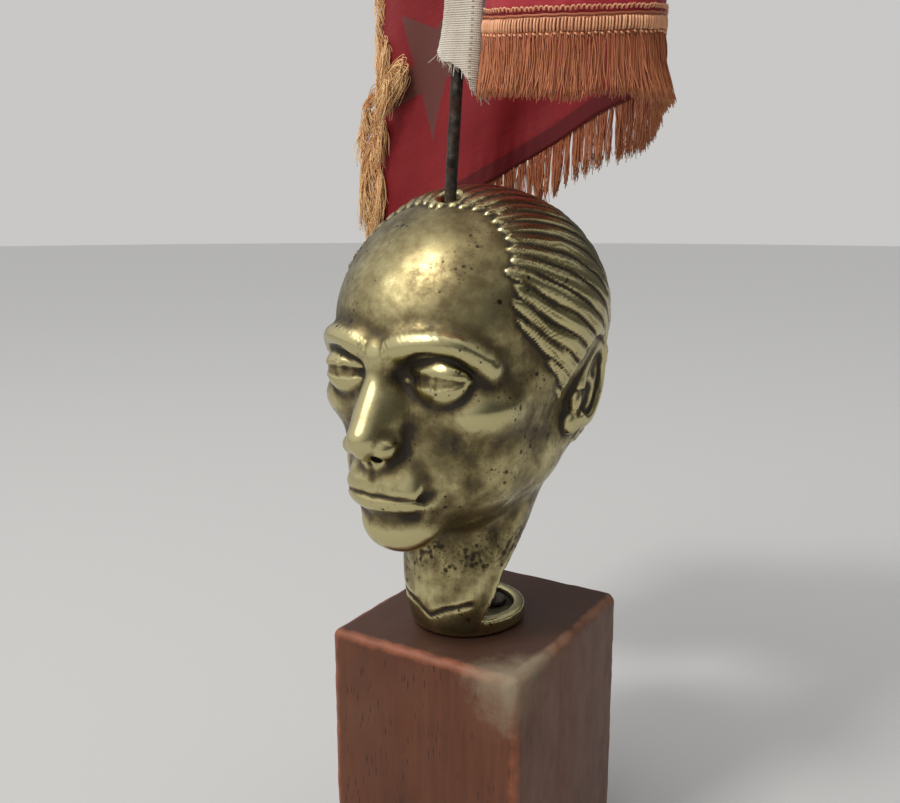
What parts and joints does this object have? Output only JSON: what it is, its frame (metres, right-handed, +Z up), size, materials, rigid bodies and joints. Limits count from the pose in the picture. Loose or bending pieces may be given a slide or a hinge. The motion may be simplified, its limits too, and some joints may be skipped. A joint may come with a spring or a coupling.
{
  "type": "desk flag stand",
  "caption": "Desk flag stand: a cast brass head on a wooden plinth, holding a small fringed flag on a thin steel rod in its crown.",
  "frame": {"origin": "middle of the base, on the surface that the stand rests on", "axes": "+Z up, -Y out of the plinth's front face, +X towards the head's own left"},
  "size_m": [0.0935, 0.0798, 0.2811],
  "materials": {
    "waxed_hardwood": "old red-brown wax, worn pale on the corners",
    "green_felt": "pressed felt",
    "tarnished_brass": "sand-cast, rubbed bright on the high places, brown in the hollows",
    "screw_steel": "darkened steel",
    "rod_steel": "dark rusted steel, scuffed lighter",
    "finial_brass": "turned, dulled",
    "white_tape": "ribbed cotton tape, frayed where it is cut",
    "red_satin": "woven rayon with a soft sheen",
    "gold_braid": "woven rayon braid",
    "gold_thread": "loose twisted rayon thread"
  },
  "bodies": {
    "stand": {"plinth": "waxed_hardwood", "base_felt": "green_felt", "head_casting": "tarnished_brass", "foot_screw_right": "screw_steel", "foot_screw_left": "screw_steel"},
    "pole": {"pole_rod": "rod_steel", "pole_finial": "finial_brass"},
    "flag": {"hoist_sleeve": "white_tape", "flag_cloth": "red_satin", "fringe_heading_bottom": "gold_braid", "fringe_heading_top": "gold_braid", "fringe_heading_fly": "gold_braid", "fringe_skirt_bottom": "gold_thread", "fringe_skirt_top": "gold_thread", "fringe_skirt_fly": "gold_thread"}
  },
  "joints": [
    {"name": "pole_lift", "type": "slide", "parent": "stand", "child": "pole", "axis": [0.0491, 0.03, 0.9983], "range_m": [0, 0.02]},
    {"name": "flag_turn", "type": "hinge", "parent": "pole", "child": "flag", "pos_m": [0, -0.0114, 0.142], "axis": [0.0491, 0.03, 0.9983], "continuous": true}
  ]
}
